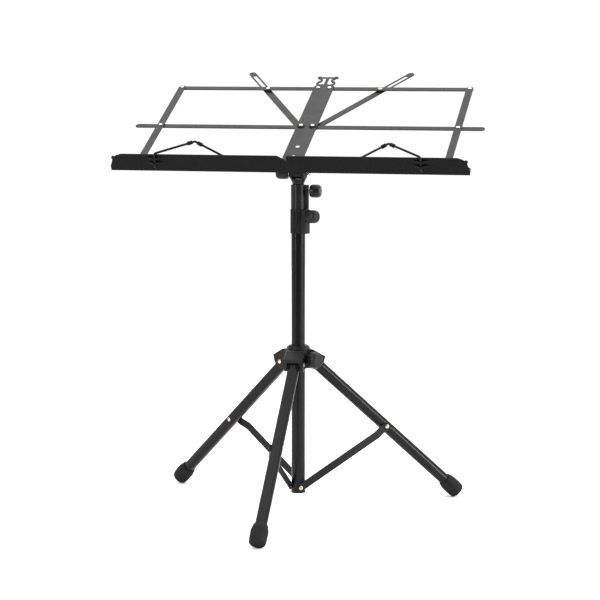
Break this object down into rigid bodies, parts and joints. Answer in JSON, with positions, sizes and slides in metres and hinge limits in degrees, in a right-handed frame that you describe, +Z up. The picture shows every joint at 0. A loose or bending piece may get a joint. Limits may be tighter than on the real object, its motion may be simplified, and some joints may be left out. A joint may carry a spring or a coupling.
{
  "type": "music stand",
  "caption": "Folding sheet-music stand with a lattice desk and hinged ledge on a telescopic column over a folding tripod base.",
  "frame": {"origin": "on the floor under the axis of the column, midway between the three feet", "axes": "+Z up along the column; -Y toward the player, the way the desk faces and the front leg points; +X to the right of someone who faces the desk"},
  "size_m": [0.4922, 0.4627, 0.5941],
  "materials": {
    "enamel": "glossy black enamel on steel tube",
    "sheet_steel": "satin dark grey baked coating on pressed steel",
    "tray_steel": "satin black baked coating on pressed steel",
    "black_plastic": "fine-grained moulded black plastic",
    "rubber": "matte black rubber",
    "plated": "bright zinc and nickel plated steel"
  },
  "bodies": {
    "column": {"lower_tube": "enamel", "bottom_plug": "black_plastic", "collar_pins": "plated", "lower_clamp": "black_plastic"},
    "lower_knob": {"lower_knob": "black_plastic", "lower_screw": "plated"},
    "mid_stage": {"mid_tube": "enamel", "mid_bush": "black_plastic", "upper_clamp": "black_plastic"},
    "upper_knob": {"upper_knob": "black_plastic", "upper_screw": "plated"},
    "rod_bush": {"rod_bush": "black_plastic"},
    "rod": {"inner_rod": "enamel", "head_fork": "black_plastic", "tilt_nut": "plated"},
    "tilt_knob": {"tilt_knob": "black_plastic", "tilt_bolt": "plated"},
    "desk": {"spine_plate": "sheet_steel", "desk_bracket": "sheet_steel", "bracket_spacer": "sheet_steel", "bracket_rivets": "plated", "spine_rivets": "plated", "spine_washers": "rubber"},
    "hub": {"hub": "black_plastic", "hub_rivets": "plated"},
    "hub_knob": {"hub_knob": "black_plastic", "hub_screw": "plated"},
    "mid_bar_l": {"mid_bar_l": "sheet_steel", "mid_hardware_l": "plated"},
    "tray_l": {"tray_l": "tray_steel"},
    "top_bar_l": {"top_bar_l": "sheet_steel", "slot_pin_l": "plated"},
    "side_bar_l": {"side_bar_l": "sheet_steel", "side_rivets_l": "plated"},
    "diagonal_l": {"diagonal_l": "sheet_steel"},
    "page_wire_l": {"page_wire_l": "enamel", "wire_sleeves_l": "rubber"},
    "mid_bar_r": {"mid_bar_r": "sheet_steel", "mid_hardware_r": "plated"},
    "tray_r": {"tray_r": "tray_steel"},
    "top_bar_r": {"top_bar_r": "sheet_steel", "slot_pin_r": "plated"},
    "side_bar_r": {"side_bar_r": "sheet_steel", "side_rivets_r": "plated"},
    "diagonal_r": {"diagonal_r": "sheet_steel"},
    "page_wire_r": {"page_wire_r": "enamel", "wire_sleeves_r": "rubber"},
    "leg_1": {"leg_tube_1": "enamel", "leg_foot_1": "rubber", "leg_rivet_1": "plated"},
    "stay_1": {"stay_1": "sheet_steel"},
    "leg_2": {"leg_tube_2": "enamel", "leg_foot_2": "rubber", "leg_rivet_2": "plated"},
    "stay_2": {"stay_2": "sheet_steel"},
    "leg_3": {"leg_tube_3": "enamel", "leg_foot_3": "rubber", "leg_rivet_3": "plated"},
    "stay_3": {"stay_3": "sheet_steel"}
  },
  "joints": [
    {"name": "lower_knob_turn", "type": "hinge", "parent": "column", "child": "lower_knob", "pos_m": [0, 0, 0.404], "axis": [0.9272, -0.3746, 0], "continuous": true},
    {"name": "mid_slide", "type": "slide", "parent": "column", "child": "mid_stage", "axis": [0, 0, 1], "range_m": [0, 0.26]},
    {"name": "upper_knob_turn", "type": "hinge", "parent": "mid_stage", "child": "upper_knob", "pos_m": [0, 0, 0.438], "axis": [1, 0, 0], "continuous": true},
    {"name": "rod_slide", "type": "slide", "parent": "mid_stage", "child": "rod_bush", "axis": [0, 0, 1], "range_m": [0, 0.26]},
    {"name": "rod_swivel", "type": "hinge", "parent": "rod_bush", "child": "rod", "pos_m": [0, 0, 0.1], "axis": [0, 0, 1], "continuous": true},
    {"name": "tilt_knob_turn", "type": "hinge", "parent": "rod", "child": "tilt_knob", "pos_m": [0, 0, 0.4625], "axis": [1, 0, 0], "continuous": true},
    {"name": "desk_tilt", "type": "hinge", "parent": "rod", "child": "desk", "pos_m": [0, 0, 0.4625], "axis": [1, 0, 0], "range_deg": [-20, 50]},
    {"name": "hub_slide", "type": "slide", "parent": "column", "child": "hub", "axis": [0, 0, 1], "range_m": [0, 0.11263]},
    {"name": "hub_knob_turn", "type": "hinge", "parent": "hub", "child": "hub_knob", "pos_m": [0, 0, 0.209], "axis": [0.866, -0.5, 0], "continuous": true},
    {"name": "fold_l", "type": "hinge", "parent": "desk", "child": "mid_bar_l", "pos_m": [-0.0082, 0.05303, 0.52342], "axis": [0, 0.4115, -0.9114], "range_deg": [0, 82]},
    {"name": "tray_pivot_l", "type": "hinge", "parent": "desk", "child": "tray_l", "pos_m": [-0.0082, -0.05452, 0.47486], "axis": [0, 0.4115, -0.9114], "range_deg": [0, 82.02]},
    {"name": "top_bar_pivot_l", "type": "hinge", "parent": "desk", "child": "top_bar_l", "pos_m": [-0.0082, 0.16422, 0.57362], "axis": [0, 0.4115, -0.9114], "range_deg": [0, 82.02]},
    {"name": "side_bar_pivot_l", "type": "hinge", "parent": "mid_bar_l", "child": "side_bar_l", "pos_m": [-0.2097, 0.05303, 0.52342], "axis": [0, 0.4115, -0.9114], "range_deg": [-82.02, 0]},
    {"name": "diagonal_pivot_l", "type": "hinge", "parent": "desk", "child": "diagonal_l", "pos_m": [-0.0082, 0.05303, 0.52342], "axis": [0, 0.4115, -0.9114], "range_deg": [0, 28.31]},
    {"name": "page_wire_swing_l", "type": "hinge", "parent": "tray_l", "child": "page_wire_l", "pos_m": [-0.18, -0.06928, 0.46819], "axis": [0, 0.4115, -0.9114], "range_deg": [-80, 0]},
    {"name": "fold_r", "type": "hinge", "parent": "desk", "child": "mid_bar_r", "pos_m": [0.0082, 0.05303, 0.52342], "axis": [0, -0.4115, 0.9114], "range_deg": [0, 82]},
    {"name": "tray_pivot_r", "type": "hinge", "parent": "desk", "child": "tray_r", "pos_m": [0.0082, -0.05452, 0.47486], "axis": [0, -0.4115, 0.9114], "range_deg": [0, 82.02]},
    {"name": "top_bar_pivot_r", "type": "hinge", "parent": "desk", "child": "top_bar_r", "pos_m": [0.0082, 0.16422, 0.57362], "axis": [0, -0.4115, 0.9114], "range_deg": [0, 82.02]},
    {"name": "side_bar_pivot_r", "type": "hinge", "parent": "mid_bar_r", "child": "side_bar_r", "pos_m": [0.2097, 0.05303, 0.52342], "axis": [0, -0.4115, 0.9114], "range_deg": [-82.02, 0]},
    {"name": "diagonal_pivot_r", "type": "hinge", "parent": "desk", "child": "diagonal_r", "pos_m": [0.0082, 0.05303, 0.52342], "axis": [0, -0.4115, 0.9114], "range_deg": [0, 28.31]},
    {"name": "page_wire_swing_r", "type": "hinge", "parent": "tray_r", "child": "page_wire_r", "pos_m": [0.18, -0.06928, 0.46819], "axis": [0, -0.4115, 0.9114], "range_deg": [-80, 0]},
    {"name": "leg_1_fold", "type": "hinge", "parent": "hub", "child": "leg_1", "pos_m": [0, -0.023, 0.203], "axis": [1, 0, 0], "range_deg": [0, 45.45]},
    {"name": "stay_1_fold", "type": "hinge", "parent": "column", "child": "stay_1", "pos_m": [0, 0, 0.03], "axis": [-1, 0, 0], "range_deg": [0, 47.4]},
    {"name": "leg_2_fold", "type": "hinge", "parent": "hub", "child": "leg_2", "pos_m": [0.01992, 0.0115, 0.203], "axis": [-0.5, 0.866, 0], "range_deg": [0, 45.45]},
    {"name": "stay_2_fold", "type": "hinge", "parent": "column", "child": "stay_2", "pos_m": [0, 0, 0.03], "axis": [0.5, -0.866, 0], "range_deg": [0, 47.4]},
    {"name": "leg_3_fold", "type": "hinge", "parent": "hub", "child": "leg_3", "pos_m": [-0.01992, 0.0115, 0.203], "axis": [-0.5, -0.866, 0], "range_deg": [0, 45.45]},
    {"name": "stay_3_fold", "type": "hinge", "parent": "column", "child": "stay_3", "pos_m": [0, 0, 0.03], "axis": [0.5, 0.866, 0], "range_deg": [0, 47.4]}
  ],
  "couplings": [
    {"joint": "tray_pivot_l", "follows": "fold_l", "ratio": 1},
    {"joint": "top_bar_pivot_l", "follows": "fold_l", "ratio": 1},
    {"joint": "side_bar_pivot_l", "follows": "fold_l", "ratio": -1},
    {"joint": "diagonal_pivot_l", "follows": "fold_l", "ratio": 0.345},
    {"joint": "tray_pivot_r", "follows": "fold_r", "ratio": 1},
    {"joint": "top_bar_pivot_r", "follows": "fold_r", "ratio": 1},
    {"joint": "side_bar_pivot_r", "follows": "fold_r", "ratio": -1},
    {"joint": "diagonal_pivot_r", "follows": "fold_r", "ratio": 0.345},
    {"joint": "leg_1_fold", "follows": "hub_slide", "rad_per_m": 7.0352},
    {"joint": "stay_1_fold", "follows": "hub_slide", "rad_per_m": 7.3358},
    {"joint": "leg_2_fold", "follows": "hub_slide", "rad_per_m": 7.0352},
    {"joint": "stay_2_fold", "follows": "hub_slide", "rad_per_m": 7.3358},
    {"joint": "leg_3_fold", "follows": "hub_slide", "rad_per_m": 7.0352},
    {"joint": "stay_3_fold", "follows": "hub_slide", "rad_per_m": 7.3358}
  ]
}
